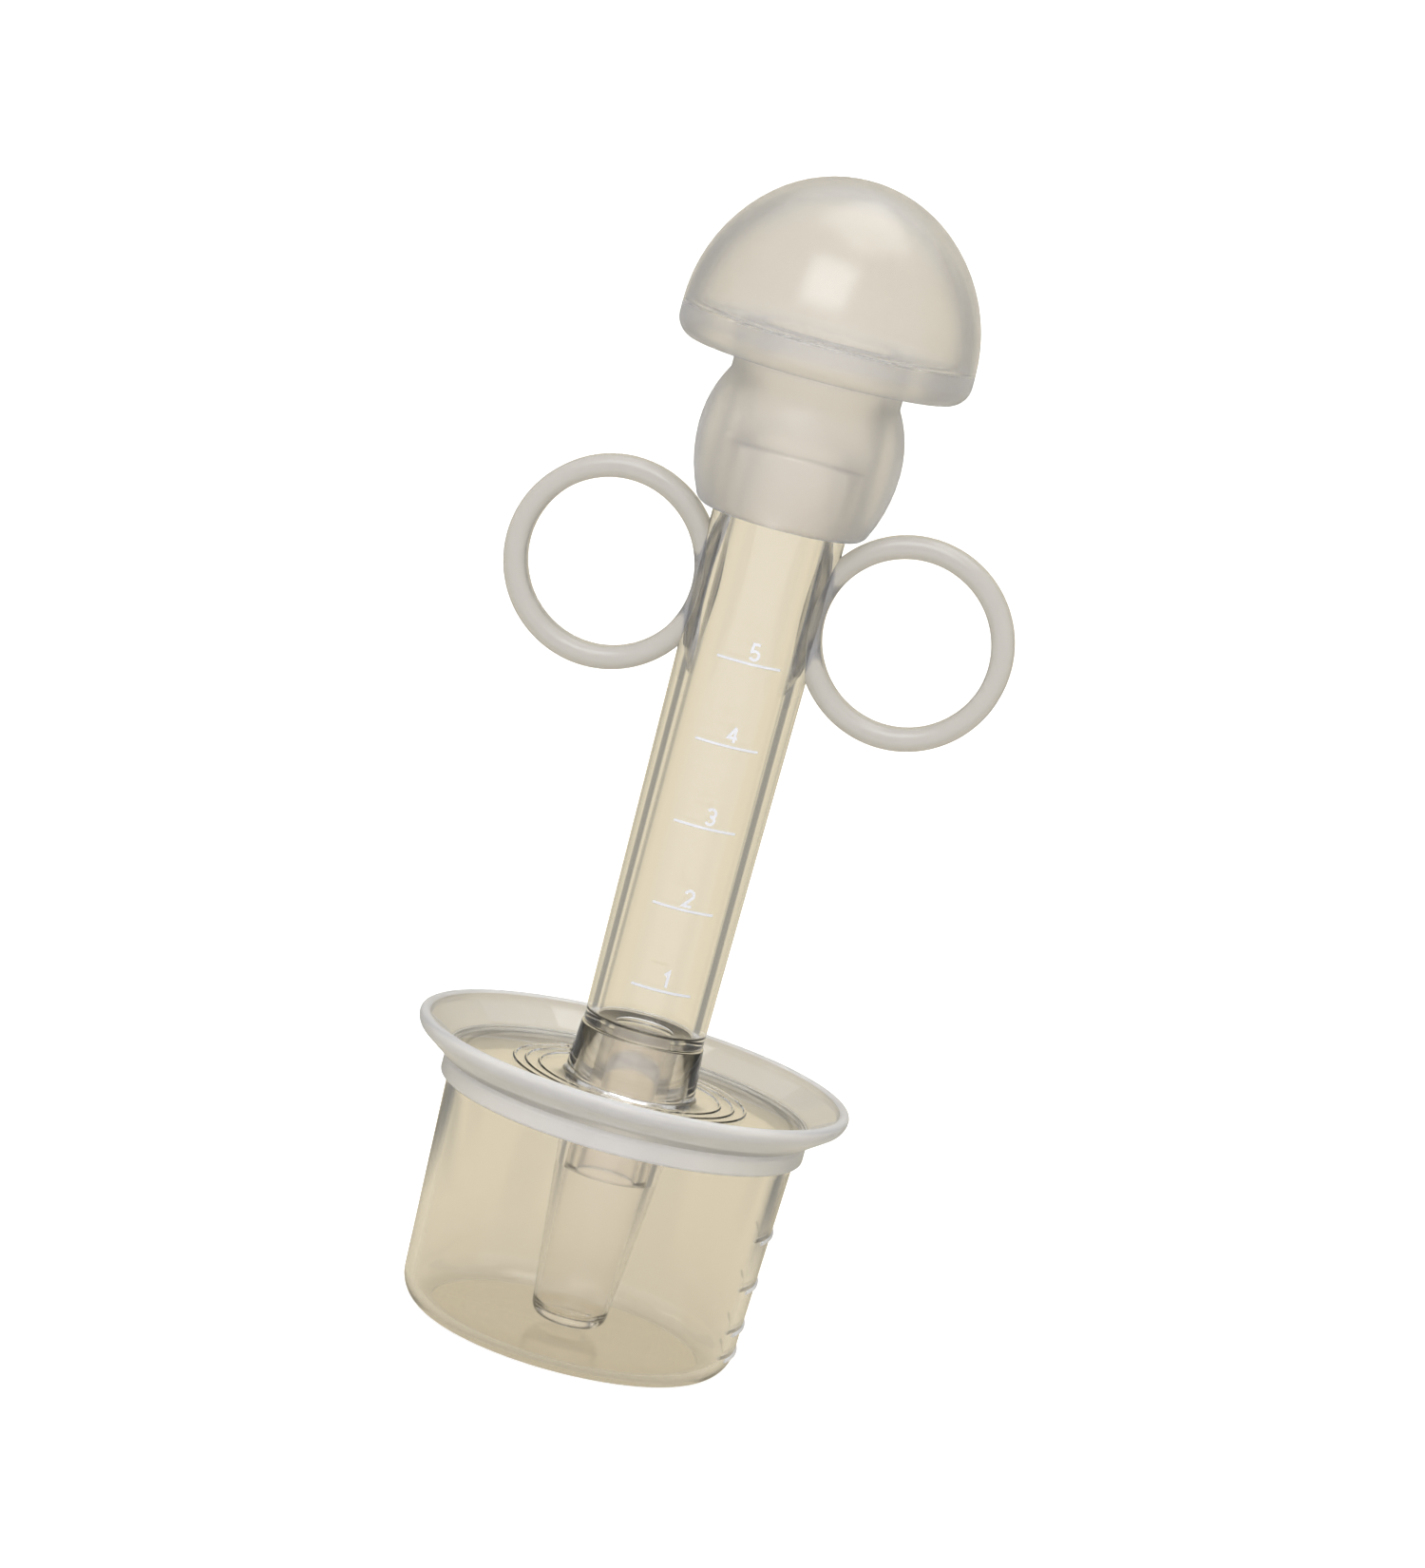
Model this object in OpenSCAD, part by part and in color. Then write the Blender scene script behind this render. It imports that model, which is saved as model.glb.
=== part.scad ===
// Medicine dropper with finger rings, stored upright in its own measuring cup.
// Millimetres, +Z up, origin at the centre of the cup's base. The finger rings lie along X,
// and the dose scale faces -Y.

/* [Measuring cup] */
// Radius of the flat base
cup_base_r = 16.1; // [14:0.1:19]
// Radius of the corner between the base and the wall
cup_corner_r = 3.8; // [1.5:0.1:4.5]
// Outer radius of the wall at the rim
cup_rim_r = 20.75; // [20:0.05:24]
// Height of the rim
cup_h = 29.8; // [26:0.1:33]
// Height of the straight band under the rim that the lid grips
cup_band_h = 3.5; // [2:0.1:6]
// Wall thickness
cup_wall = 1.3; // [0.8:0.1:2]

/* [Lid] */
// Radius of the dish rim
dish_r = 25.7; // [24:0.1:30]
// Height of the dish rim
dish_top = 34.2; // [33:0.1:38]
// Radius of the curve under the dish rim
dish_curve_r = 1.8; // [1.5:0.1:3]
// Slope of the dish wall, in degrees from level
dish_slope = 36; // [30:1:50]
// Thickness of the dish wall and floor
dish_wall = 1.3; // [0.8:0.1:2]
// Outer radius of the skirt round the cup rim
skirt_r = 21.7; // [21.4:0.05:24]
// Height of the skirt's lower edge
skirt_low = 27.3; // [24:0.1:28]
// Outer radius of the hub at its top
hub_top_r = 7.3; // [7:0.05:9]
// Outer radius of the hub at the dish floor
hub_foot_r = 7.75; // [7.3:0.05:10]
// Radius of the vent hole in the dish floor
vent_r = 0.5; // [0.3:0.1:1]
// Distance of the vent hole from the axis
vent_place = 14.6; // [10:0.1:18]

/* [Barrel] */
// Height of the shoulder that rests on the hub
shoulder_z = 37.3; // [35:0.1:42]
// Height of the barrel's open top
barrel_top = 107.2; // [95:0.1:120]
// Outer radius at the top, inside the bulb's collar
barrel_top_r = 7.85; // [7:0.05:9]
// Outer radius at the shoulder
barrel_foot_r = 7.15; // [6.5:0.05:8]
// Radius of the bore
bore_r = 5.7; // [5:0.05:6.3]
// Radius of the spout below the shoulder
spout_r = 4.85; // [4:0.05:5.2]
// Radius of the bore in the spout
spout_bore_r = 3.4; // [2.5:0.1:4]
// Height of the spout's lower end
spout_low = 20.3; // [18:0.1:24]

/* [Finger rings] */
// Distance of each ring's centre from the axis
ring_offset = 17.6; // [16:0.1:20]
// Height of the ring centres
ring_z = 89.3; // [80:0.1:95]
// Outer radius of a ring
ring_r = 12.35; // [11:0.05:14]
// Radius of a ring's hole
ring_hole_r = 9.75; // [9:0.05:11]
// Depth of a ring from front to back
ring_depth = 4.4; // [3:0.1:6]

/* [Nozzle] */
// Outer radius of the part inside the hub
nozzle_r = 6.8; // [6.2:0.05:6.9]
// Outer radius just above the rounded end
nozzle_end_r = 4.5; // [4:0.05:5]
// Height of the lower end
nozzle_low = 2; // [1.6:0.1:3]
// Height where the taper starts
nozzle_taper_z = 27.3; // [24:0.1:29]
// Radius of the rounded lower edge
nozzle_edge_r = 1.8; // [1:0.1:2.2]
// Radius of the outlet hole
outlet_r = 0.4; // [0.2:0.05:0.6]

/* [Bulb] */
// Height of the dome's widest level, which is also the cavity's floor
dome_level = 120.6; // [110:0.1:130]
// Radius of the dome at its widest level
dome_r = 17.2; // [15:0.1:20]
// Radius of the arc that shapes the dome's side
dome_side_arc = 19; // [18:0.1:22]
// Angle along that arc where the rounder top starts
dome_side_turn = 50; // [46:1:60]
// Wall thickness of the dome
dome_wall = 1.8; // [1.2:0.1:2.5]
// Height of the cut between the flexing wall and the crown that the thumb presses
crown_z = 129.5; // [127:0.1:131]
// Thickness of the floor plate under the dome
plate_t = 3.9; // [2:0.1:5]
// Radius of the floor plate's lower edge
plate_edge_r = 2.6; // [1:0.1:3]
// Radius of the neck under the plate
neck_r = 9.95; // [9.5:0.05:11]
// Radius of the bore in the neck, above the barrel
neck_bore_r = 7.9; // [7.5:0.05:8.5]
// Largest radius of the collar
collar_r = 11.9; // [11:0.05:13]
// Height of the collar's widest level
collar_level = 107.6; // [104:0.1:110]
// Height of the collar's lower end
collar_low = 98.8; // [96:0.1:102]
// Radius of the collar's lower edge
collar_edge_r = 1.8; // [1:0.1:2.5]

/* [Scales] */
// Height of the 1 ml mark on the barrel
first_mark_z = 44; // [42:0.1:48]
// Relief of the marks
relief = 0.15; // [0.1:0.01:0.3]
// Width of a mark's line
line_w = 0.32; // [0.2:0.02:0.4]
// Height of a numeral
numeral_h = 1.8; // [1.2:0.1:2.5]
// Heights of the lines on the cup
cup_marks = [3.4, 6.6, 11.9, 18]; // [2:0.1:22]

/* [Hidden] */
$fn = 96;

// Clearance of the sliding fits, on the radius
fit = 0.05;
// How far a cutting solid runs past a face
past = 1;

// Cup: the wall rises from the corner to the band in one straight taper.
cup_low_r = cup_base_r + cup_corner_r;
cup_band_z = cup_h - cup_band_h;

// Lid: the floor hangs just above the cup's rim.
floor_low = cup_h + fit;
floor_top = floor_low + dish_wall;
lip_r = dish_wall / 2;
dish_curve_c = [dish_r - dish_curve_r, dish_top - lip_r];
crease_r = skirt_r - 0.5;
crease_z = floor_low + 0.1;
skirt_top_r = crease_r + 0.07;
hub_top = shoulder_z - fit;
hub_bore_r = nozzle_r + fit;
skirt_bore_r = cup_rim_r + fit;
vent_turn = 131;
rib_places = [10.6, 12.2, 13.6];
rib_w = 0.4;
rib_h = 0.2;

// Barrel: tapered up to the straight top that the collar grips.
grip_z = collar_low - 0.8;
bore_low = shoulder_z + 1.2;
shoulder_edge = 0.3;

// Ring section: a rounded rectangle that leaves a straight land round the hole.
ring_edge_r = 1.1;

// Nozzle bore: a seat for the spout, then a taper to the closed end.
nozzle_seat_r = spout_r;
nozzle_bore_top_r = 4.65;
nozzle_bore_end_r = 3.95;
nozzle_end_wall = 1.2;
outlet_place = 2.4;

// Dome: a side arc and a rounder top arc that run into each other without a corner.
side_c = [dome_r - dome_side_arc, dome_level];
side_end = on_circle(side_c, dome_side_arc, dome_side_turn);
top_arc = side_end[0] / cos(dome_side_turn);
top_c = [0, side_end[1] - top_arc * sin(dome_side_turn)];
plate_low = dome_level - plate_t;

// Collar: a taller arc above its widest level and a flatter one below it.
collar_upper_arc = 14;
collar_lower_arc = 18;

// Scale: one mark for each millilitre in the bore.
ml_step = 1000 / (PI * bore_r * bore_r);
mark_count = 5;
mark_turns = [-18, 39];
numeral_turn = 13;
numeral_gap = 0.55;
cup_mark_turn = 14;
cup_mark_h = 0.5;
cup_mark_relief = 0.25;

// Point on a circle, at an angle in degrees
function on_circle(c, r, a) = c + r * [cos(a), sin(a)];

// Points along an arc from one angle to another
function arc(c, r, a0, a1, steps = 16) =
    [for (i = [0:steps]) on_circle(c, r, a0 + (a1 - a0) * i / steps)];

// Direction square to the step from one point to the next
function across(a, b) = [a[1] - b[1], b[0] - a[0]] / norm(b - a);

// Offset from a path's point to the side of a line with the scale's width
function side_step(path, i) = let (
    before = across(path[max(i - 1, 0)], path[max(i, 1)]),
    after = across(path[min(i, len(path) - 2)], path[min(i + 1, len(path) - 1)]),
    middle = (before + after) / norm(before + after))
    middle * line_w / 2 / (middle * before);

// Outline of a line of even width along a path
function band(path) = concat(
    [for (i = [0:len(path) - 1]) path[i] + side_step(path, i)],
    [for (i = [len(path) - 1:-1:0]) path[i] - side_step(path, i)]);

// Angle at which an arc of the dome's side reaches a height
function side_angle(r, z) = asin((z - side_c[1]) / r);

// Outer radius of the barrel at a height under the straight top
function barrel_r_at(z) =
    barrel_foot_r + (barrel_top_r - barrel_foot_r) * (z - shoulder_z) / (grip_z - shoulder_z);

// Outer radius of the cup's wall at a height under the band
function cup_r_at(z) =
    cup_low_r + (cup_rim_r - cup_low_r) * (z - cup_corner_r) / (cup_band_z - cup_corner_r);

// A solid of revolution from an outline of [radius, height] points
module turned(outline) {
    rotate_extrude() polygon(outline);
}

module measuring_cup() {
    inner_corner = cup_corner_r - cup_wall;
    color([0.9, 0.88, 0.78, 0.5]) turned(concat(
        [[0, 0]],
        arc([cup_base_r, cup_corner_r], cup_corner_r, -90, 0, 10),
        [[cup_rim_r, cup_band_z], [cup_rim_r, cup_h], [cup_rim_r - cup_wall, cup_h],
            [cup_rim_r - cup_wall, cup_band_z]],
        arc([cup_base_r, cup_corner_r], inner_corner, 0, -90, 10),
        [[0, cup_wall]]));
}

// Raised lines of the cup's scale, on its +X side
module cup_scale() {
    color([0.85, 0.86, 0.86]) rotate(-cup_mark_turn) for (z = cup_marks)
        rotate_extrude(angle = 2 * cup_mark_turn) polygon([
            [cup_r_at(z), z],
            [cup_r_at(z) + cup_mark_relief, z + cup_mark_h * 0.3],
            [cup_r_at(z) + cup_mark_relief, z + cup_mark_h * 0.7],
            [cup_r_at(z + cup_mark_h), z + cup_mark_h]]);
}

// Floor and flared wall of the lid, with the vent hole and the fine ribs on the floor
module lid_dish() {
    curve_turn = dish_slope - 90;
    curve_low = on_circle(dish_curve_c, dish_curve_r, curve_turn);
    foot_r = crease_r + 0.7;
    foot_z = curve_low[1] - (curve_low[0] - foot_r) * tan(dish_slope);
    inner_foot_r = foot_r
        - (foot_z + dish_wall / cos(dish_slope) - floor_top) / tan(dish_slope);
    color([0.88, 0.88, 0.84, 0.6]) difference() {
        union() {
            turned(concat(
                [[hub_foot_r, floor_low], [skirt_top_r, floor_low], [crease_r, crease_z],
                    [foot_r, foot_z]],
                arc(dish_curve_c, dish_curve_r, curve_turn, 0, 10),
                arc([dish_r - lip_r, dish_curve_c[1]], lip_r, 10, 180, 10),
                arc(dish_curve_c, dish_curve_r - dish_wall, -10, curve_turn, 6),
                [[inner_foot_r, floor_top], [hub_foot_r, floor_top]]));
            for (r = rib_places)
                turned([[r, floor_top - rib_h], [r + rib_w, floor_top - rib_h],
                    [r + rib_w * 0.7, floor_top + rib_h], [r + rib_w * 0.3, floor_top + rib_h]]);
        }
        rotate(vent_turn) translate([vent_place, 0, floor_low - past])
            cylinder(r = vent_r, h = dish_wall + 2 * past, $fn = 32);
    }
}

// Skirt under the lid's floor, round the cup's rim
module lid_skirt() {
    edge_r = 0.45;
    color([0.88, 0.88, 0.84, 0.6]) turned(concat(
        [[skirt_bore_r, skirt_low]],
        arc([skirt_r - edge_r, skirt_low + edge_r], edge_r, -90, 0, 6),
        [[skirt_r, floor_low - 0.6], [skirt_top_r, floor_low], [skirt_bore_r, floor_low]]));
}

// Upstanding socket in the middle of the lid, which holds the nozzle
module lid_hub() {
    top_edge_r = 0.15;
    color([0.88, 0.88, 0.86, 0.6]) turned(concat(
        [[hub_bore_r, floor_low], [hub_foot_r, floor_low], [hub_foot_r, floor_top]],
        arc([hub_top_r - top_edge_r, hub_top - top_edge_r], top_edge_r, 0, 90, 4),
        [[hub_bore_r, hub_top]]));
}

// Everything inside the barrel's outer surface, for cutting the rings to it
module barrel_envelope() {
    turned([[0, shoulder_z], [barrel_foot_r, shoulder_z], [barrel_top_r, grip_z],
        [barrel_top_r, barrel_top], [0, barrel_top]]);
}

// Graduated tube with the spout that carries the nozzle
module barrel() {
    top_edge_r = 0.4;
    color([0.9, 0.88, 0.78, 0.5]) turned(concat(
        [[spout_bore_r, spout_low], [spout_r, spout_low], [spout_r, shoulder_z]],
        arc([barrel_foot_r - shoulder_edge, shoulder_z + shoulder_edge], shoulder_edge, -90, 0, 5),
        [[barrel_top_r, grip_z]],
        arc([barrel_top_r - top_edge_r, barrel_top - top_edge_r], top_edge_r, 0, 90, 5),
        [[bore_r, barrel_top], [bore_r, bore_low], [spout_bore_r, bore_low - 0.2]]));
}

// Numeral: a line of even width along a path, and the 4 has a second one
module numeral(n) {
    h = numeral_h;
    bowl = h * 0.27;
    paths = [
        [[[h * 0.06, h * 0.78], [h * 0.3, h], [h * 0.3, 0]]],
        [concat(arc([bowl, h - bowl], bowl, 170, -30, 10), [[0, 0], [bowl * 2, 0]])],
        [arc([bowl, h - bowl], bowl, 150, -90, 10), arc([bowl, bowl], bowl, 105, -150, 10)],
        [[[h * 0.58, h * 0.3], [0, h * 0.3], [h * 0.4, h]], [[h * 0.4, h * 0.92], [h * 0.4, 0]]],
        [concat([[h * 0.5, h], [h * 0.08, h], [h * 0.05, h * 0.5]],
            arc([bowl, bowl * 1.05], bowl * 1.05, 100, -150, 12))]];
    for (path = paths[n - 1])
        polygon(band(path));
}

// Raised lines and numerals on the front of the barrel
module barrel_scale() {
    color([0.85, 0.86, 0.86]) for (n = [1:mark_count]) {
        z = first_mark_z + (n - 1) * ml_step;
        rotate(mark_turns[0] - 90) rotate_extrude(angle = mark_turns[1] - mark_turns[0]) polygon([
            [barrel_r_at(z - line_w / 2), z - line_w / 2],
            [barrel_r_at(z) + relief, z - line_w * 0.3],
            [barrel_r_at(z) + relief, z + line_w * 0.3],
            [barrel_r_at(z + line_w / 2), z + line_w / 2]]);
        difference() {
            rotate(numeral_turn) translate([-numeral_h * 0.28, 0, z + numeral_gap])
                rotate([90, 0, 0]) linear_extrude(barrel_r_at(z) + relief) numeral(n);
            barrel_envelope();
        }
    }
}

// One finger ring, cut to the barrel's side; side is -1 for left and 1 for right
module finger_ring(side) {
    half = ring_depth / 2;
    straight = half - ring_edge_r;
    color([0.88, 0.86, 0.82, 0.7]) difference() {
        translate([side * ring_offset, 0, ring_z]) rotate([90, 0, 0]) turned(concat(
            arc([ring_hole_r + ring_edge_r, -straight], ring_edge_r, 180, 270, 8),
            arc([ring_r - ring_edge_r, -straight], ring_edge_r, 270, 360, 8),
            arc([ring_r - ring_edge_r, straight], ring_edge_r, 0, 90, 8),
            arc([ring_hole_r + ring_edge_r, straight], ring_edge_r, 90, 180, 8)));
        barrel_envelope();
    }
}

module finger_ring_left() {
    finger_ring(-1);
}

module finger_ring_right() {
    finger_ring(1);
}

// Clear tapered nozzle with a rounded end and one outlet hole
module nozzle_tip() {
    edge_c = [nozzle_end_r - nozzle_edge_r, nozzle_low + nozzle_edge_r];
    inner_edge_r = nozzle_edge_r - 0.6;
    inner_c = [nozzle_bore_end_r - inner_edge_r, nozzle_low + nozzle_end_wall + inner_edge_r];
    color([0.88, 0.84, 0.8, 0.6]) difference() {
        turned(concat(
            [[0, nozzle_low]],
            arc(edge_c, nozzle_edge_r, -90, 0, 10),
            [[nozzle_r, nozzle_taper_z], [nozzle_r, shoulder_z], [nozzle_seat_r, shoulder_z],
                [nozzle_seat_r, spout_low], [nozzle_bore_top_r, spout_low]],
            arc(inner_c, inner_edge_r, 0, -90, 8),
            [[0, nozzle_low + nozzle_end_wall]]));
        translate([outlet_place, 0, nozzle_low - past])
            cylinder(r = outlet_r, h = nozzle_end_wall + 2 * past, $fn = 32);
    }
}

// Bulged collar and neck that grip the barrel's top
module bulb_collar() {
    lower_c = [collar_r - collar_lower_arc, collar_level];
    upper_c = [collar_r - collar_upper_arc, collar_level];
    grip_r = barrel_top_r + fit;
    edge_z = collar_low + collar_edge_r;
    edge_r = lower_c[0] + sqrt(pow(collar_lower_arc, 2) - pow(edge_z - lower_c[1], 2));
    lower_turn = -asin((collar_level - edge_z) / collar_lower_arc);
    neck_turn = acos((neck_r - upper_c[0]) / collar_upper_arc);
    color([0.86, 0.85, 0.82, 0.8]) turned(concat(
        [[grip_r, collar_low]],
        arc([edge_r - collar_edge_r, edge_z], collar_edge_r, -90, 0, 8),
        arc(lower_c, collar_lower_arc, lower_turn + 1, 0, 12),
        arc(upper_c, collar_upper_arc, 2, neck_turn, 12),
        [[neck_r, plate_low], [neck_bore_r, plate_low], [grip_r, barrel_top + 0.3]]));
}

// Floor plate under the dome, with the bore down to the barrel
module bulb_plate() {
    color([0.82, 0.83, 0.83, 0.8]) turned(concat(
        [[neck_bore_r, plate_low]],
        arc([dome_r - plate_edge_r, plate_low + plate_edge_r], plate_edge_r, -90, 0, 10),
        [[dome_r, dome_level], [neck_bore_r, dome_level]]));
}

// Lower wall of the dome, which flexes when the crown is pressed
module bulb_wall() {
    inner_arc = dome_side_arc - dome_wall;
    color([0.87, 0.84, 0.78, 0.8]) turned(concat(
        arc(side_c, dome_side_arc, 0, side_angle(dome_side_arc, crown_z), 14),
        arc(side_c, inner_arc, side_angle(inner_arc, crown_z), 0, 14)));
}

// Crown that the thumb presses
module bulb_crown() {
    inner_arc = dome_side_arc - dome_wall;
    color([0.87, 0.84, 0.78, 0.8]) turned(concat(
        arc(side_c, dome_side_arc, side_angle(dome_side_arc, crown_z), dome_side_turn, 8),
        arc(top_c, top_arc, dome_side_turn + 2.5, 90, 14),
        arc(top_c, top_arc - dome_wall, 90, dome_side_turn + 2.5, 14),
        arc(side_c, inner_arc, dome_side_turn, side_angle(inner_arc, crown_z), 8)));
}

measuring_cup();
cup_scale();
lid_dish();
lid_skirt();
lid_hub();
barrel();
barrel_scale();
finger_ring_left();
finger_ring_right();
nozzle_tip();
bulb_collar();
bulb_plate();
bulb_wall();
bulb_crown();
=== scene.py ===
"""Medicine dropper with a squeeze bulb and finger rings, stored upright in its measuring cup."""

import math

import bmesh
import bpy
from bpy.props import FloatProperty, FloatVectorProperty, PointerProperty
from mathutils import Matrix, Vector


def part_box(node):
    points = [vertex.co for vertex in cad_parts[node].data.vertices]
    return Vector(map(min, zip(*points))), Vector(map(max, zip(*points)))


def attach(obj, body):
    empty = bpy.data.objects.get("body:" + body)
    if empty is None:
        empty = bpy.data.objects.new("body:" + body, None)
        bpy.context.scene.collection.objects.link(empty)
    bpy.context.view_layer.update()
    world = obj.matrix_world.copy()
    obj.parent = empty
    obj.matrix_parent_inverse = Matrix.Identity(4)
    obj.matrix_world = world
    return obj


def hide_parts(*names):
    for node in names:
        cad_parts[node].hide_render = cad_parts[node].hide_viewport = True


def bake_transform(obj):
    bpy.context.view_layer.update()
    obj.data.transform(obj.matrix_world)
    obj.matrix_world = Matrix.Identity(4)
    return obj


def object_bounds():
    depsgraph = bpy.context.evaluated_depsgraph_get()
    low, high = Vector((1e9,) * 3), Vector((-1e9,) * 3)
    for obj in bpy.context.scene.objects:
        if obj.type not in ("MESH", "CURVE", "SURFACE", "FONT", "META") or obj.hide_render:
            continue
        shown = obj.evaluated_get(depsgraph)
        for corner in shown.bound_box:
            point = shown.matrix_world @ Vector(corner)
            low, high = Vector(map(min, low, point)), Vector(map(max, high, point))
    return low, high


bl_info = {
    "name": "Medicine dropper",
    "version": (1, 0, 0),
    "blender": (4, 5, 0),
    "location": "3D View > Sidebar > Dropper",
    "description": "Builds a medicine dropper, its lid and measuring cup, and a pale studio",
    "category": "Object",
}

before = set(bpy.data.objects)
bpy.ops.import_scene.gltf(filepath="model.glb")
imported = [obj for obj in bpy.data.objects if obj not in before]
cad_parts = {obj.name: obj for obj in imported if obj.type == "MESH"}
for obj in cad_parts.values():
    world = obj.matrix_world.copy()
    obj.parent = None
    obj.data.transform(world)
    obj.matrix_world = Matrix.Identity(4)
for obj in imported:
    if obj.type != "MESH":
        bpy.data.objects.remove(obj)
CAD_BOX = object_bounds()

# Steps of a full turn, and of a quarter turn in an outline
TURN_STEPS = 160
QUARTER_STEPS = 18
# Angle between faces from which their shared edge stays sharp
SHARP_ANGLE = math.radians(34)
# Distance under which two points of a piece are one
SAME_POINT = 2e-6
# Gap that keeps faces of two pieces from lying on each other
AIR = 0.00004
# How far a tool reaches past the walls that it cuts
PAST = 0.001
# Bounces that light needs to get through the walls nested in the hub
BOUNCES = 56


def size_of(node):
    """Largest radius, lowest level and highest level of a round CAD node."""
    low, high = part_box(node)
    return high.x, low.z, high.z


CUP_R, CUP_TOP = size_of("measuring_cup")[::2]
DISH_R, DISH_LOW, DISH_TOP = size_of("lid_dish")
SKIRT_R, SKIRT_LOW = size_of("lid_skirt")[:2]
HUB_R, HUB_TOP = size_of("lid_hub")[::2]
BARREL_R, SPOUT_LOW, BARREL_TOP = size_of("barrel")
NOZZLE_R, NOZZLE_LOW, SHOULDER_Z = size_of("nozzle_tip")
COLLAR_R, COLLAR_LOW, PLATE_LOW = size_of("bulb_collar")
DOME_R, DOME_LEVEL = size_of("bulb_plate")[::2]
DOME_TOP = size_of("bulb_crown")[2]
RING_LOW, RING_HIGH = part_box("finger_ring_right")


# ---------------------------------------------------------------- settings


def length(name, description, default):
    """A size that the sidebar shows with its unit."""
    return FloatProperty(name=name, description=description, default=default, unit="LENGTH",
                         precision=5)


def colour(name, description, default):
    """A colour that the sidebar shows as a swatch."""
    return FloatVectorProperty(name=name, description=description, default=default,
                               subtype="COLOR", min=0, max=1)


def turn(name, description, degrees):
    """An angle that the sidebar shows in degrees."""
    return FloatProperty(name=name, description=description, default=math.radians(degrees),
                         subtype="ANGLE")


def plain(name, description, default):
    """A number without a unit."""
    return FloatProperty(name=name, description=description, default=default)


class CupSettings(bpy.types.PropertyGroup):
    """Sizes of the measuring cup."""

    rim_radius: length("Rim radius", "Outer radius of the wall at the rim", CUP_R - 0.00001)
    base_radius: length("Base radius", "Radius of the flat base", 0.01609)
    corner: length("Corner", "Radius of the corner between the base and the wall", 0.0038)
    height: length("Height", "Height of the rim", CUP_TOP)
    band: length("Band", "Height of the straight band under the rim", 0.0035)
    wall: length("Wall", "Thickness of the wall and base", 0.0013)


class LidSettings(bpy.types.PropertyGroup):
    """Sizes of the dished lid."""

    rim_radius: length("Rim radius", "Outer radius of the dish", DISH_R)
    rim_level: length("Rim level", "Height of the dish's rim", DISH_TOP)
    floor_low: length("Floor level", "Height of the floor's underside", DISH_LOW)
    curve: length("Curve", "Radius of the curve under the dish's rim", 0.0018)
    slope: turn("Slope", "Slope of the dish's wall from level", 36)
    wall: length("Wall", "Thickness of the dish", 0.0013)
    skirt_radius: length("Skirt radius", "Outer radius of the skirt", SKIRT_R)
    skirt_bore: length("Skirt bore", "Inner radius of the skirt", CUP_R + 0.00005)
    skirt_low: length("Skirt level", "Height of the skirt's lower edge", SKIRT_LOW)
    hub_foot: length("Hub foot", "Outer radius of the hub at the floor", HUB_R)
    hub_radius: length("Hub radius", "Outer radius of the hub at its top", HUB_R - 0.00045)
    hub_bore: length("Hub bore", "Radius of the hub's bore", NOZZLE_R + 0.00005)
    hub_top: length("Hub top", "Height of the hub", HUB_TOP)
    vent: length("Vent", "Radius of the vent hole", 0.0005)
    vent_place: length("Vent place", "Distance of the vent hole from the axis", 0.0146)
    vent_turn: turn("Vent turn", "Direction of the vent hole from the axis", 131)


class BarrelSettings(bpy.types.PropertyGroup):
    """Sizes of the barrel, its spout and its finger rings."""

    top_radius: length("Top radius", "Outer radius inside the collar", BARREL_R - 0.00001)
    foot_radius: length("Foot radius", "Outer radius at the shoulder", 0.00714)
    top: length("Top", "Height of the open top", BARREL_TOP)
    grip_level: length("Grip level", "Height where the straight top starts", COLLAR_LOW - 0.0008)
    shoulder: length("Shoulder", "Height of the shoulder on the hub", SHOULDER_Z)
    bore: length("Bore", "Radius of the bore", 0.0057)
    bore_low: length("Bore floor", "Height where the bore narrows to the spout", 0.0385)
    spout_radius: length("Spout radius", "Outer radius of the spout", 0.00485)
    spout_bore: length("Spout bore", "Radius of the spout's bore", 0.0034)
    spout_low: length("Spout level", "Height of the spout's lower end", SPOUT_LOW)
    ring_radius: length("Ring radius", "Outer radius of a finger ring",
                        (RING_HIGH.z - RING_LOW.z) / 2)
    ring_hole: length("Ring hole", "Radius of a finger ring's hole", 0.00975)
    ring_depth: length("Ring depth", "Depth of a finger ring", RING_HIGH.y - RING_LOW.y)
    ring_edge: length("Ring edge", "Rounding of a finger ring's edges", 0.0011)
    ring_level: length("Ring level", "Height of the ring centres",
                       (RING_HIGH.z + RING_LOW.z) / 2)


class NozzleSettings(bpy.types.PropertyGroup):
    """Sizes of the nozzle."""

    radius: length("Radius", "Outer radius inside the hub", NOZZLE_R)
    taper_level: length("Taper level", "Height where the taper starts", 0.0273)
    end_radius: length("End radius", "Outer radius above the rounded end", 0.0045)
    edge: length("Edge", "Rounding of the lower edge", 0.0018)
    low: length("Lower end", "Height of the lower end", NOZZLE_LOW)
    bore_top: length("Bore top", "Radius of the bore under the spout", 0.00465)
    bore_end: length("Bore end", "Radius of the bore above its closed end", 0.00395)
    end_wall: length("End wall", "Thickness of the closed end", 0.0012)
    outlet: length("Outlet", "Radius of the outlet hole", 0.0004)
    outlet_place: length("Outlet place", "Distance of the outlet hole from the axis", 0.0024)


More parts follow.
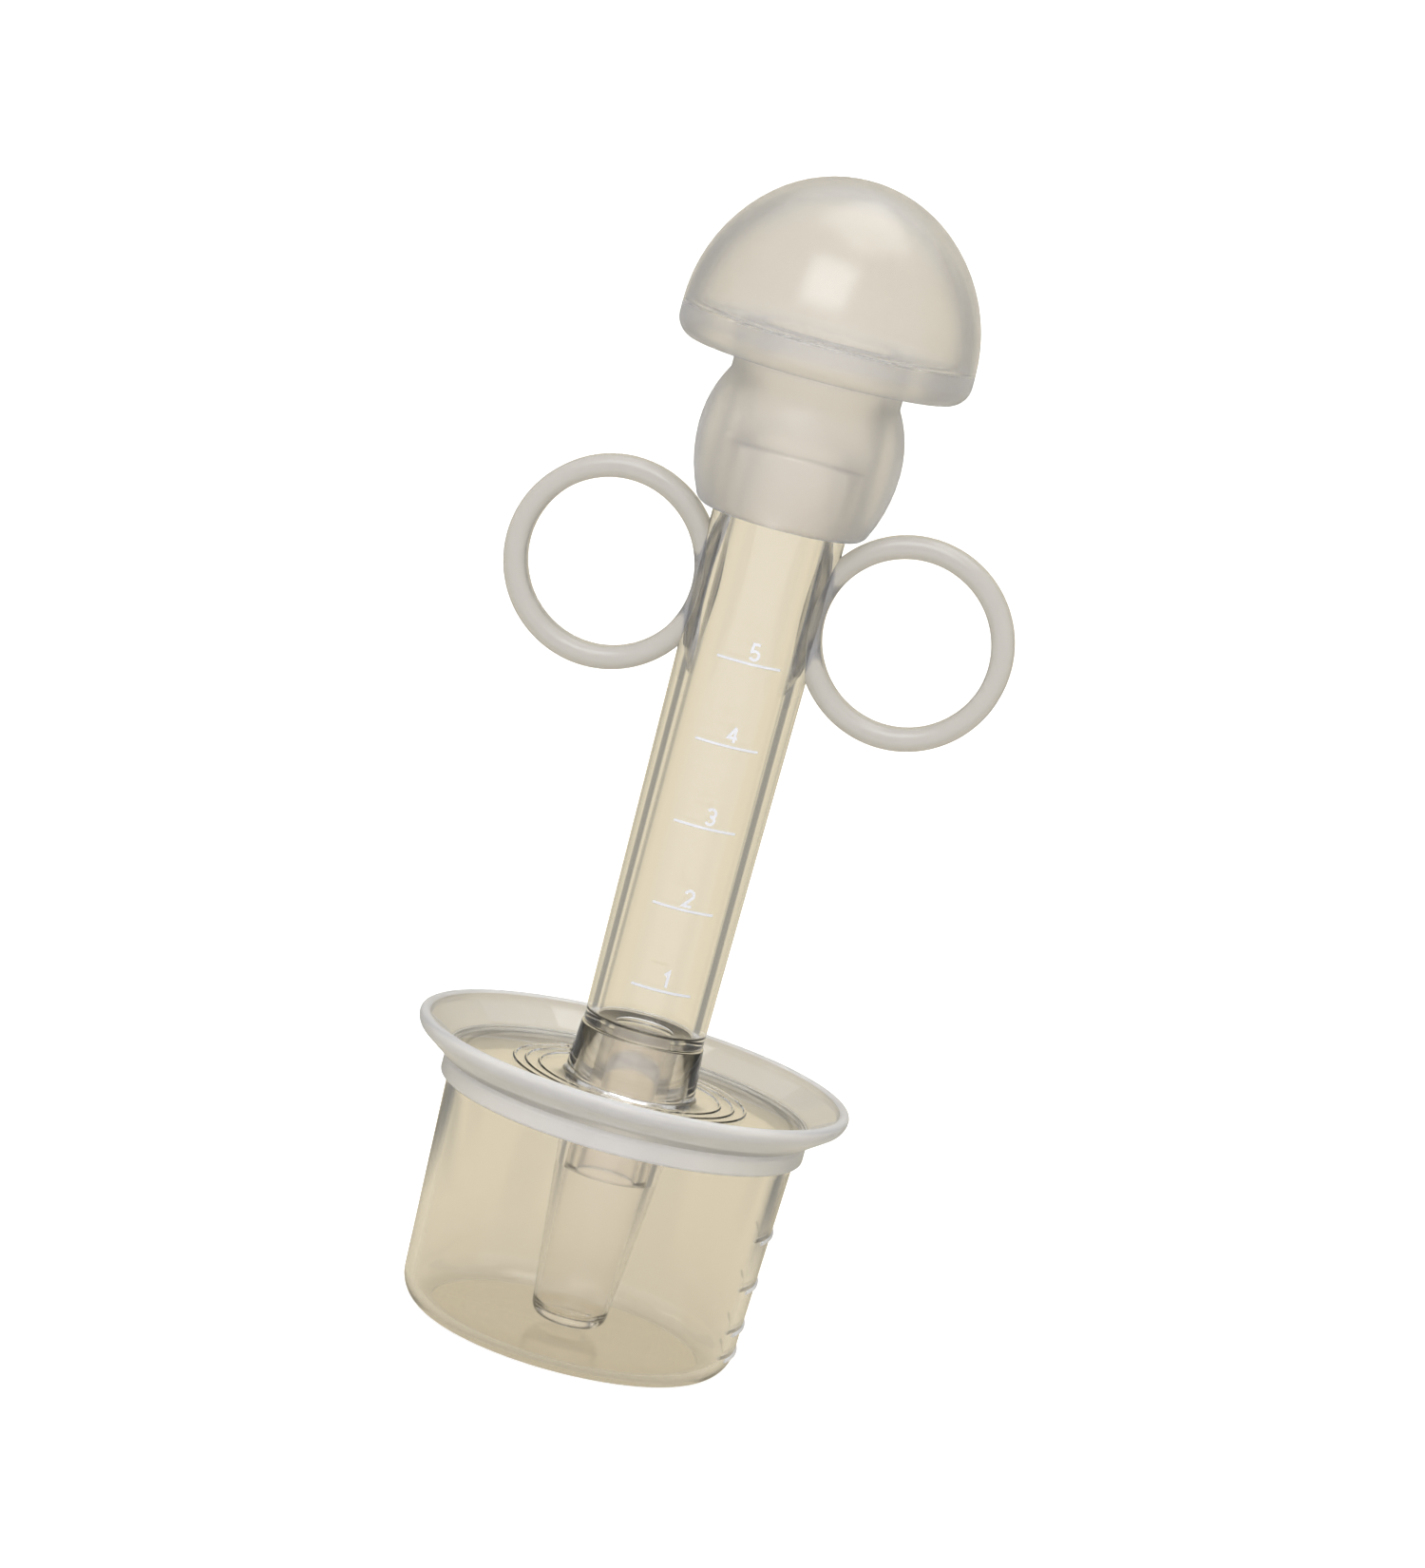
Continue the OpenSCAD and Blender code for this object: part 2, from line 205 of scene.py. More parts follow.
class BulbSettings(bpy.types.PropertyGroup):
    """Sizes of the silicone bulb."""

    dome_radius: length("Dome radius", "Radius at the widest level", DOME_R)
    dome_level: length("Dome level", "Height of the widest level", DOME_LEVEL)
    side_arc: length("Side arc", "Radius of the arc that shapes the side", 0.019)
    side_turn: turn("Side turn", "Angle along that arc where the rounder top starts", 50)
    wall: length("Wall", "Thickness of the dome", 0.0018)
    plate_edge: length("Plate edge", "Rounding of the floor plate's lower edge", 0.0026)
    neck_radius: length("Neck radius", "Outer radius under the plate", 0.00995)
    bore: length("Bore", "Radius of the bore that grips the barrel", BARREL_R + 0.00005)
    collar_radius: length("Collar radius", "Largest radius of the collar", COLLAR_R)
    collar_level: length("Collar level", "Height of the collar's widest level", 0.1076)
    collar_low: length("Collar low", "Height of the collar's lower end", COLLAR_LOW)
    collar_edge: length("Collar edge", "Rounding of the collar's lower edge", 0.0018)
    collar_upper: length("Collar upper arc", "Radius of the arc above the widest level", 0.014)
    collar_lower: length("Collar lower arc", "Radius of the arc below the widest level", 0.018)
    press_end: length("Press end", "Height above which the dome follows the thumb", DOME_TOP)


class PlasticSettings(bpy.types.PropertyGroup):
    """Colours of the plastics and the silicone, and the shade painted at their outlines."""

    cup: colour("Cup plastic", "What the cup's wall lets through", (0.95, 0.94, 0.925))
    clear: colour("Clear plastic", "What a clear wall lets through", (0.985, 0.978, 0.96))
    lid: colour("Lid plastic", "What the lid's plastic lets through", (0.995, 0.99, 0.98))
    # Painted shade: the barrel's and the cup's walls take this dark colour where they turn edge on,
    # in place of the dark edges that refraction gives.
    wall_outline_shade: colour("Wall outline", "Colour of the barrel's and the cup's walls edge on",
                      (0.42, 0.46, 0.49))
    # Painted shade: the lid and the nozzle take this faint grey where they turn edge on.
    clear_outline_shade: colour("Clear outline", "Colour of the lid and the nozzle edge on",
                       (0.95, 0.955, 0.96))
    milky: colour("Milky plastic", "Colour of the finger rings", (0.74, 0.74, 0.74))
    # Painted shade: the finger rings take this grey where they turn edge on.
    ring_edge: colour("Ring outline", "Colour of the finger rings at their outlines",
                      (0.60, 0.62, 0.64))
    nozzle: colour("Nozzle plastic", "What the nozzle lets through", (0.99, 0.98, 0.97))
    satin: colour("Satin plastic", "Colour of the lid's frosted rim and skirt",
                  (0.97, 0.975, 0.98))
    # Painted shade: the lid's frosted rim and skirt take this grey where they turn edge on.
    satin_outline_shade: colour("Satin outline", "Colour of the lid's rim and skirt at their outlines",
                       (0.86, 0.88, 0.90))
    frost: colour("Frosted bores", "Colour of the spout and the nozzle's bore",
                  (1.0, 0.99, 0.985))
    thick: colour("Thick silicone", "Colour of the bulb's plate and collar",
                  (1.0, 0.985, 0.97))
    # Painted shade: the bulb's inner walls take this dark blue-grey where they turn edge on.
    shadow: colour("Silicone inside", "Colour of the bulb's inner walls at their outlines",
                   (0.56, 0.60, 0.65))
    # Painted shade: the silicone's outer walls take this grey where they turn edge on.
    rim: colour("Silicone outline", "Colour of the silicone at its outline",
                (0.84, 0.85, 0.87))
    silicone: colour("Silicone", "Colour of the bulb", (0.985, 0.975, 0.965))
    sheen: colour("Silicone sheen", "Tint of the silicone's pale sheen", (0.72, 0.80, 0.92))


class StageSettings(bpy.types.PropertyGroup):
    """Camera, lights and backdrop."""

    camera_distance: length("Camera distance", "Distance of the camera from the axis", 0.644)
    camera_height: length("Camera height", "Height of the camera", 0.1696)
    camera_turn: turn("Camera turn", "How far the camera stands round to the right", 4.5)
    camera_pitch: turn("Camera pitch", "How far the camera looks down", 9.0)
    camera_lean: turn("Camera lean", "How far the picture leans to the right", 15.0)
    camera_aside: length("Camera aside", "How far the camera aims to the right of the axis", 0.0003)
    lens: plain("Lens", "Focal length in millimetres on a 36 mm wide sensor", 143.2)
    backdrop: colour("Backdrop", "Colour of the floor and backdrop", (0.72, 0.72, 0.72))
    paper: colour("Paper", "Warm tint of the backdrop in what shines through the plastic",
                  (0.60, 0.54, 0.405))
    cool: colour("Room tint", "Tint of the front softbox and of the backdrop's front",
                 (0.90, 0.91, 0.98))
    # Painted shade: two dark sectors of the backdrop stand in for the unlit sides of a studio, and
    # draw the clear walls' dark edges.
    flag: colour("Side flags", "Dark sides of the backdrop, which draw the clear walls' edges",
                 (0.06, 0.075, 0.095))
    glow: plain("Backdrop light", "Light from the backdrop behind the object", 0.72)
    room: plain("Room light", "Light from the rest of the room", 0.7)
    key: plain("Key light", "Power of the overhead softbox in watts", 5.0)
    front: plain("Front light", "Power of the front softbox in watts", 5.0)


# ---------------------------------------------------------------- materials


class Value:
    """A node's output that takes part in arithmetic."""

    def __init__(self, finish, socket):
        self.finish = finish
        self.socket = socket

    def maths(self, operation, first, second):
        return self.finish.node("ShaderNodeMath", {"operation": operation},
                                {0: first, 1: second})

    def __add__(self, other):
        return self.maths("ADD", self, other)

    def __radd__(self, other):
        return self.maths("ADD", other, self)

    def __rsub__(self, other):
        return self.maths("SUBTRACT", other, self)

    def __mul__(self, other):
        return self.maths("MULTIPLY", self, other)

    def __truediv__(self, other):
        return self.maths("DIVIDE", self, other)

    def __pow__(self, other):
        return self.maths("POWER", self, other)


class Finish:
    """A material with one Principled shader, and the nodes that feed it."""

    def __init__(self, name, **constants):
        self.material = bpy.data.materials.new(name)
        self.material.use_nodes = True
        self.tree = self.material.node_tree
        self.tree.nodes.clear()
        self.shader = self.tree.nodes.new("ShaderNodeBsdfPrincipled")
        self.output = self.tree.nodes.new("ShaderNodeOutputMaterial")
        self.tree.links.new(self.shader.outputs[0], self.output.inputs["Surface"])
        self.place = None
        self.set(**constants)

    def set(self, **values):
        """Set or link sockets of the shader, named with _ for a space."""
        for name, value in values.items():
            self.feed(self.shader.inputs[name.replace("_", " ")], value)

    def feed(self, socket, value):
        """Link a value to a socket, or set it there."""
        if isinstance(value, Value):
            self.tree.links.new(value.socket, socket)
        elif socket.type == "RGBA" and len(value) == 3:
            socket.default_value = (*value, 1)
        else:
            socket.default_value = value

    def node(self, kind, settings=None, sockets=None, output=0):
        """Add any node, with its settings first and then its sockets."""
        node = self.tree.nodes.new(kind)
        for name, setting in (settings or {}).items():
            setattr(node, name, setting)
        for name, value in (sockets or {}).items():
            self.feed(node.inputs[name], value)
        return Value(self, node.outputs[output])

    def position(self):
        """Object coordinates, which are metres in the object's own frame."""
        if self.place is None:
            self.place = self.node("ShaderNodeTexCoord", output="Object")
        return self.place

    def axis(self, name):
        """One of the Object coordinates."""
        return self.node("ShaderNodeSeparateXYZ", None, {0: self.position()}, name)

    def reach(self):
        """Distance from the Z axis."""
        flat = self.node("ShaderNodeVectorMath", {"operation": "MULTIPLY"},
                         {0: self.position(), 1: (1, 1, 0)})
        return self.node("ShaderNodeVectorMath", {"operation": "LENGTH"}, {0: flat}, "Value")

    def step(self, value, low, high, first=0.0, last=1.0):
        """Runs smoothly from first to last as the value goes from low to high."""
        return self.node("ShaderNodeMapRange", {"interpolation_type": "SMOOTHSTEP"},
                         {"Value": value, "From Min": low, "From Max": high,
                          "To Min": first, "To Max": last})

    def noise(self, size, detail=2.0, stretch=(1, 1, 1)):
        """Noise from 0 to 1 whose features are about the given size in metres."""
        place = self.node("ShaderNodeMapping", None,
                          {"Vector": self.position(), "Scale": stretch})
        return self.node("ShaderNodeTexNoise", None,
                         {"Vector": place, "Scale": 1 / size, "Detail": detail}, "Fac")

    def edge(self, start, end):
        """0 where the surface is seen square on, rising to 1 at its outline, where the finishes
        paint shade.
        """
        facing = self.node("ShaderNodeLayerWeight", None, {"Blend": 0.5}, "Facing")
        return self.step(facing, start, end)

    def mix(self, amount, first, second):
        """Mix of two colours."""
        return self.node("ShaderNodeMix", {"data_type": "RGBA"},
                         {0: amount, 6: first, 7: second}, 2)

    def bump(self, height, depth, strength=1.0):
        """Normals bent by a height from 0 to 1 that stands for a depth in metres."""
        self.set(Normal=self.node("ShaderNodeBump", None,
                                  {"Height": height, "Distance": depth, "Strength": strength}))


def clear_plastic(name, tint, painted_outline_shade):
    """Clear moulded plastic with faint draw lines along Z, slight waves, a soft haze and painted
    shade at its outlines.
    """
    finish = Finish(name, Transmission_Weight=1.0, IOR=1.49)
    # Painted shade: the colour turns to the outline shade where the wall is seen edge on.
    finish.set(Base_Color=finish.mix(finish.edge(0.88, 1.0), (*tint, 1), (*painted_outline_shade, 1)))
    haze = finish.noise(0.004, 3)
    lines = finish.noise(0.0006, 2, (1, 1, 0.03))
    waves = finish.noise(0.007, 1)
    finish.set(Roughness=0.03 + haze ** 2 * 0.05)
    finish.bump(waves * 0.85 + lines * 0.15, 0.00001, 0.4)
    return finish


def frosted_plastic(name, tint, depth, blur, painted_outline_shade):
    """Frosted plastic: a soft translucent body with faint clouds, and painted shade at its
    outlines.
    """
    finish = Finish(name, Transmission_Weight=depth, IOR=1.45)
    grain = finish.noise(0.0003, 2)
    cloud = finish.noise(0.003, 2)
    body = finish.mix(cloud, (*tint, 1), (*[shade * 0.97 for shade in tint], 1))
    # Painted shade: the body's colour turns to the outline shade where the surface is seen edge on.
    finish.set(Base_Color=finish.mix(finish.edge(0.45, 1.0), body, (*painted_outline_shade, 1)))
    finish.set(Roughness=blur + cloud * 0.05 + grain * 0.03)
    finish.bump(cloud, 0.00001, 0.3)
    return finish


def silicone(name, tint, depth, blur, painted_outline_shade, settings, start=0.5):
    """Frosted silicone with a fine mould grain, faint clouds, a pale sheen and painted shade at its
    outlines.
    """
    finish = Finish(name, IOR=1.41, Transmission_Weight=depth,
                    Sheen_Weight=0.2, Sheen_Roughness=0.4, Sheen_Tint=(*settings.sheen, 1))
    cloud = finish.noise(0.006, 3)
    grain = finish.noise(0.0003, 2)
    body = finish.mix(cloud, (*tint, 1), (*[shade * 0.975 for shade in tint], 1))
    # Painted shade: the body's colour turns to the outline shade where the surface is seen edge on.
    finish.set(Base_Color=finish.mix(finish.edge(start, 1.0), body, (*painted_outline_shade, 1)))
    finish.set(Roughness=blur + cloud * 0.05 + grain * 0.04)
    finish.bump(cloud, 0.00001, 0.1)
    return finish


def scale_relief():
    """Fine frosted relief of the scales."""
    finish = Finish("scale_relief", Base_Color=(0.92, 0.93, 0.95), Transmission_Weight=0.3,
                    IOR=1.2)
    grain = finish.noise(0.0002, 2)
    finish.set(Roughness=0.4 + grain * 0.2)
    finish.bump(grain, 0.000005, 0.5)
    return finish


# ---------------------------------------------------------------- modelling


class Outline:
    """Outline of a round piece in the XZ plane, drawn from point to point and along arcs."""

    def __init__(self, radius, height):
        self.bm = bmesh.new()
        self.first = self.last = self.bm.verts.new((radius, 0, height))
        self.corners = []

    def to(self, radius, height, rounding=0.0):
        """Straight on to a point, whose corner may be rounded later."""
        vert = self.bm.verts.new((radius, 0, height))
        self.bm.edges.new((self.last, vert))
        self.last = vert
        if rounding:
            self.corners.append((vert, rounding))
        return self

    def around(self, centre, degrees):
        """Round a centre by an angle, positive from +X towards +Z."""
        steps = max(2, round(abs(degrees) / 90 * QUARTER_STEPS))
        made = bmesh.ops.spin(self.bm, geom=[self.last], cent=(centre[0], 0, centre[1]),
                              axis=(0, -1, 0), dvec=(0, 0, 0), angle=math.radians(degrees),
                              steps=steps, use_merge=False, use_duplicate=False)
        self.last = next(item for item in made["geom_last"]
                         if isinstance(item, bmesh.types.BMVert))
        return self

    def arc(self, centre, radius, start, end):
        """Straight on to an arc's start, and along it."""
        angle = math.radians(start)
        return self.to(centre[0] + radius * math.cos(angle),
                       centre[1] + radius * math.sin(angle)).around(centre, end - start)

    def close(self):
        """Back to the first point."""
        self.bm.edges.new((self.last, self.first))
        return self

    def spun(self, steps=TURN_STEPS):
        """The solid that the outline makes when it turns round the Z axis."""
        bm = self.bm
        bmesh.ops.remove_doubles(bm, verts=bm.verts, dist=SAME_POINT)
        for vert, rounding in self.corners:
            bmesh.ops.bevel(bm, geom=[vert], offset=rounding, segments=6, profile=0.5,
                            affect="VERTICES", material=-1)
        bmesh.ops.spin(bm, geom=bm.verts[:] + bm.edges[:], cent=(0, 0, 0), axis=(0, 0, 1),
                       dvec=(0, 0, 0), angle=2 * math.pi, steps=steps, use_merge=True,
                       use_duplicate=False)
        bmesh.ops.remove_doubles(bm, verts=bm.verts, dist=SAME_POINT)
        bmesh.ops.recalc_face_normals(bm, faces=bm.faces)
        return bm


def polar(centre, radius, degrees):
    """Point at an angle on a circle."""
    angle = math.radians(degrees)
    return centre[0] + radius * math.cos(angle), centre[1] + radius * math.sin(angle)


def mesh_object(name, bm):
    """An object at the origin that holds the bmesh."""
    mesh = bpy.data.meshes.new(name)
    bm.to_mesh(mesh)
    bm.free()
    made = bpy.data.objects.new(name, mesh)
    bpy.context.scene.collection.objects.link(made)
    return made


def shade(made, *finishes, choose=None):
    """Smooth faces with sharp corners, and the piece's finishes; choose gives a face's number."""
    mesh = made.data
    mesh.shade_smooth()
    mesh.set_sharp_from_angle(angle=SHARP_ANGLE)
    mesh.materials.clear()
    for finish in finishes:
        mesh.materials.append(finish.material)
    for face in mesh.polygons:
        face.material_index = int(choose(face)) if choose else 0
    return made


def faces_inwards(face, level):
    """True on a wall's inner side, as seen from a point of the axis."""
    return face.normal.dot(face.center - Vector((0, 0, level))) < 1e-7


def take_out(made, tool):
    """Cuts the tool's volume out of a piece, and deletes the tool."""
    cut = made.modifiers.new("cut", "BOOLEAN")
    cut.operation, cut.solver, cut.object = "DIFFERENCE", "EXACT", tool
    graph = bpy.context.evaluated_depsgraph_get()
    mesh = bpy.data.meshes.new_from_object(made.evaluated_get(graph))
    made.modifiers.clear()
    made.data = mesh
    mesh.name = made.name
    bpy.data.objects.remove(tool)
    bm = bmesh.new()
    bm.from_mesh(mesh)
    bmesh.ops.remove_doubles(bm, verts=bm.verts, dist=SAME_POINT)
    bmesh.ops.dissolve_degenerate(bm, edges=bm.edges, dist=SAME_POINT)
    bm.to_mesh(mesh)
    bm.free()
    return made


def rod(radius, low, high, spot=(0, 0), steps=48):
    """A round rod along Z, as a tool for a hole."""
    bm = bmesh.new()
    bmesh.ops.create_cone(bm, cap_ends=True, segments=steps, radius1=radius, radius2=radius,
                          depth=high - low,
                          matrix=Matrix.Translation((*spot, (low + high) / 2)))
    return mesh_object("tool", bm)


def place(made, body, slot, *nodes):
    """Says which body a piece rides on and hides the CAD nodes that it stands for; slot is not
    used.
    """
    if nodes:
        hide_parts(*nodes)
    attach(made, body)
    return made


def paint_node(node, finish):
    """Gives a CAD node's object a material."""
    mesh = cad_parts[node].data
    mesh.materials.clear()
    mesh.materials.append(finish.material)


# ---------------------------------------------------------------- pieces


class DROPPER_OT_cup(bpy.types.Operator):
    """Make the measuring cup and finish its raised lines"""

    bl_idname = "dropper.cup"
    bl_label = "Measuring cup"

    def execute(self, context):
        cup = context.scene.dropper_cup
        centre = (cup.base_radius, cup.corner)
        band_level = cup.height - cup.band
        inner = cup.rim_radius - cup.wall
        outline = Outline(0, 0)
        outline.arc(centre, cup.corner, -90, 0)
        outline.to(cup.rim_radius, band_level).to(cup.rim_radius, cup.height, 0.0003)
        outline.to(inner, cup.height, 0.0003).to(inner, band_level, 0.0002)
        outline.arc(centre, cup.corner - cup.wall, 0, -90).to(0, cup.wall)
        made = mesh_object("measuring_cup_moulding", outline.spun())
        plastic = context.scene.dropper_plastic
        shade(made, clear_plastic("clear_cup", plastic.cup, plastic.wall_outline_shade),
              frosted_plastic("cup_floor", plastic.frost, 1.0, 0.12, plastic.frost),
              choose=lambda face: face.center.z < cup.wall + 0.0002
              and face.center.xy.length < cup.base_radius)
        place(made, "cup", "clear_cup", "measuring_cup")
        paint_node("cup_scale", scale_relief())
        return {"FINISHED"}


class DROPPER_OT_lid(bpy.types.Operator):
    """Make the lid with its dish, skirt, hub, vent hole and floor ribs"""

    bl_idname = "dropper.lid"
    bl_label = "Lid"

    def execute(self, context):
        lid = context.scene.dropper_lid
        floor = lid.floor_low + lid.wall
        lip = lid.wall / 2
        centre = (lid.rim_radius - lid.curve, lid.rim_level - lip)
        slope = math.degrees(lid.slope)
        low = polar(centre, lid.curve, slope - 90)
        crease = lid.skirt_radius - 0.0005
        foot = crease + 0.0007
        foot_level = low[1] - (low[0] - foot) * math.tan(lid.slope)
        inner_rise = foot_level + lid.wall / math.cos(lid.slope) - floor
        inner_foot = foot - inner_rise / math.tan(lid.slope)
        outline = Outline(lid.hub_bore, lid.floor_low)
        outline.to(lid.skirt_bore, lid.floor_low).to(lid.skirt_bore, lid.skirt_low, 0.0003)
        outline.to(lid.skirt_radius, lid.skirt_low, 0.0004)
        outline.to(lid.skirt_radius, lid.floor_low - 0.0006, 0.0002)
        outline.to(crease, lid.floor_low + 0.0001, 0.00015).to(foot, foot_level)
        outline.arc(centre, lid.curve, slope - 90, 0)
        outline.around((lid.rim_radius - lip, centre[1]), 180)
        outline.around(centre, slope - 90)
        outline.to(inner_foot, floor, 0.0004)
        for rib in (0.0136, 0.0122, 0.0106):
            outline.to(rib + 0.0004, floor).to(rib + 0.00028, floor + 0.0002)
            outline.to(rib + 0.00012, floor + 0.0002).to(rib, floor)
        outline.to(lid.hub_foot, floor, 0.0003).to(lid.hub_radius, lid.hub_top, 0.00015)
        outline.to(lid.hub_bore, lid.hub_top, 0.0001).close()
        made = mesh_object("lid_moulding", outline.spun())
        spot = polar((0, 0), lid.vent_place, math.degrees(lid.vent_turn))
        take_out(made, rod(lid.vent, lid.floor_low - PAST, floor + PAST, spot))
        plastic = context.scene.dropper_plastic
        shade(made, clear_plastic("clear_lid", plastic.lid, plastic.clear_outline_shade),
              frosted_plastic("satin_lid", plastic.satin, 0.6, 0.32, plastic.satin_outline_shade),
              choose=lambda face: face.center.xy.length > lid.rim_radius - 0.0012
              or (face.normal.z < 0 and face.center.xy.length > crease - AIR)
              or (face.center.z < foot_level and face.center.xy.length > lid.skirt_bore - AIR))
        place(made, "lid", "clear_lid", "lid_dish", "lid_skirt", "lid_hub")
        return {"FINISHED"}


class DROPPER_OT_barrel(bpy.types.Operator):
    """Make the graduated barrel with its spout, and finish its raised scale"""

    bl_idname = "dropper.barrel"
    bl_label = "Barrel"

    def execute(self, context):
        barrel = context.scene.dropper_barrel
        outline = Outline(barrel.spout_bore, barrel.spout_low)
        outline.to(barrel.spout_radius, barrel.spout_low, 0.0003)
        outline.to(barrel.spout_radius, barrel.shoulder)
        outline.to(barrel.foot_radius, barrel.shoulder, 0.0003)
        outline.to(barrel.top_radius, barrel.grip_level)
        outline.to(barrel.top_radius, barrel.top, 0.0004).to(barrel.bore, barrel.top, 0.0002)
        outline.to(barrel.bore, barrel.bore_low, 0.0004)
        outline.to(barrel.spout_bore, barrel.bore_low - 0.0002, 0.0002).close()
        made = mesh_object("barrel_moulding", outline.spun())
        plastic = context.scene.dropper_plastic
        shade(made, clear_plastic("clear_barrel", plastic.clear, plastic.wall_outline_shade),
              frosted_plastic("frosted_spout", plastic.frost, 1.0, 0.12, plastic.frost),
              clear_plastic("clear_foot", plastic.nozzle, plastic.clear_outline_shade),
              choose=lambda face: face.center.z < barrel.spout_low + 0.0005
              or face.center.xy.length < barrel.bore - 0.0005
              or 2 * (face.center.z < barrel.bore_low + 0.001))
        place(made, "dropper", "clear_barrel", "barrel")
        paint_node("barrel_scale", scale_relief())
        return {"FINISHED"}


class DROPPER_OT_rings(bpy.types.Operator):
    """Make the two finger rings, which run into the barrel's wall"""

    bl_idname = "dropper.rings"
    bl_label = "Finger rings"

    def execute(self, context):
        barrel = context.scene.dropper_barrel
        plastic = context.scene.dropper_plastic
        finish = frosted_plastic("milky_ring", plastic.milky, 0.72, 0.18, plastic.ring_edge)
        half = barrel.ring_depth / 2
        reach = RING_HIGH.x - barrel.ring_radius
        for side, name in ((-1, "left"), (1, "right")):
            outline = Outline(barrel.ring_hole, -half)
            outline.corners.append((outline.first, barrel.ring_edge))
            outline.to(barrel.ring_radius, -half, barrel.ring_edge)
            outline.to(barrel.ring_radius, half, barrel.ring_edge)
            outline.to(barrel.ring_hole, half, barrel.ring_edge).close()
            bm = outline.spun()
            bmesh.ops.rotate(bm, verts=bm.verts, cent=(0, 0, 0),
                             matrix=Matrix.Rotation(math.pi / 2, 3, "X"))
            bmesh.ops.translate(bm, verts=bm.verts, vec=(side * reach, 0, barrel.ring_level))
            made = mesh_object("finger_ring_" + name + "_moulding", bm)
            take_out(made, rod(barrel.bore + AIR, RING_LOW.z - 0.01, RING_HIGH.z + 0.01,
                               steps=TURN_STEPS))
            shade(made, finish)
            place(made, "dropper", "milky_ring", "finger_ring_" + name)
        return {"FINISHED"}


class DROPPER_OT_nozzle(bpy.types.Operator):
    """Make the nozzle with its outlet hole"""

    bl_idname = "dropper.nozzle"
    bl_label = "Nozzle"

    def execute(self, context):
        nozzle = context.scene.dropper_nozzle
        barrel = context.scene.dropper_barrel
        edge = (nozzle.end_radius - nozzle.edge, nozzle.low + nozzle.edge)
        inner_edge = nozzle.edge - 0.0006
        inner = (nozzle.bore_end - inner_edge, nozzle.low + nozzle.end_wall + inner_edge)
        top = barrel.shoulder - AIR
        seat = barrel.spout_radius + AIR
        outline = Outline(0, nozzle.low)
        outline.arc(edge, nozzle.edge, -90, 0)
        outline.to(nozzle.radius, nozzle.taper_level, 0.0006).to(nozzle.radius, top, 0.0001)
        outline.to(seat, top, 0.0002).to(seat, barrel.spout_low - AIR)
        outline.to(nozzle.bore_top, barrel.spout_low - AIR)
        outline.arc(inner, inner_edge, 0, -90).to(0, nozzle.low + nozzle.end_wall)
        made = mesh_object("nozzle_moulding", outline.spun())
        take_out(made, rod(nozzle.outlet, nozzle.low - PAST,
                           nozzle.low + nozzle.end_wall + PAST, (nozzle.outlet_place, 0)))
        plastic = context.scene.dropper_plastic
        shade(made, clear_plastic("clear_nozzle", plastic.nozzle, plastic.clear_outline_shade),
              frosted_plastic("frosted_bore", plastic.frost, 1.0, 0.14, plastic.frost),
              choose=lambda face: face.center.z < barrel.spout_low
              and faces_inwards(face, nozzle.low + 0.006))
        place(made, "dropper", "clear_nozzle", "nozzle_tip")
        return {"FINISHED"}


class DROPPER_OT_bulb(bpy.types.Operator):
    """Make the silicone bulb as one piece from collar to crown"""

    bl_idname = "dropper.bulb"
    bl_label = "Squeeze bulb"

    def execute(self, context):
        bulb = context.scene.dropper_bulb
        side_turn = math.degrees(bulb.side_turn)
        side = (bulb.dome_radius - bulb.side_arc, bulb.dome_level)
        end = polar(side, bulb.side_arc, side_turn)
        top_arc = end[0] / math.cos(bulb.side_turn)
        top = (0, end[1] - top_arc * math.sin(bulb.side_turn))
        edge = (bulb.dome_radius - bulb.plate_edge, PLATE_LOW + bulb.plate_edge)
        upper = (bulb.collar_radius - bulb.collar_upper, bulb.collar_level)
        lower = (bulb.collar_radius - bulb.collar_lower, bulb.collar_level)
        neck_turn = math.degrees(math.acos((bulb.neck_radius - upper[0]) / bulb.collar_upper))
        foot_turn = -math.degrees(math.asin(
            (bulb.collar_level - bulb.collar_low - bulb.collar_edge)
            / (bulb.collar_lower - bulb.collar_edge)))
        foot = polar(lower, bulb.collar_lower - bulb.collar_edge, foot_turn)
        outline = Outline(0, top[1] + top_arc)
        outline.around(top, side_turn - 90)
        outline.around(side, -side_turn).arc(edge, bulb.plate_edge, 0, -90)
        outline.to(bulb.neck_radius, PLATE_LOW, 0.0007)
        outline.arc(upper, bulb.collar_upper, neck_turn, 0).around(lower, foot_turn)
        outline.around(foot, -90 - foot_turn)
        outline.to(bulb.bore, bulb.collar_low, 0.0003).to(bulb.bore, bulb.dome_level, 0.0006)
        outline.to(side[0] + bulb.side_arc - bulb.wall, bulb.dome_level, 0.0009)
        outline.around(side, side_turn).around(top, 90 - side_turn)
        made = mesh_object("squeeze_bulb", outline.spun())
        plastic = context.scene.dropper_plastic
        shade(made,
              silicone("silicone", plastic.silicone, 0.87, 0.16, plastic.rim, plastic),
              silicone("silicone_thick", plastic.thick, 0.86, 0.32, plastic.rim, plastic),
              silicone("silicone_inside", plastic.silicone, 0.95, 0.15, plastic.shadow, plastic,
                       0.4),
              choose=lambda face: 2 if faces_inwards(face, bulb.dome_level)
              else face.center.z < bulb.dome_level)
        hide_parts("bulb_collar", "bulb_plate", "bulb_wall", "bulb_crown")
        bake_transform(made)
        return {"FINISHED"}


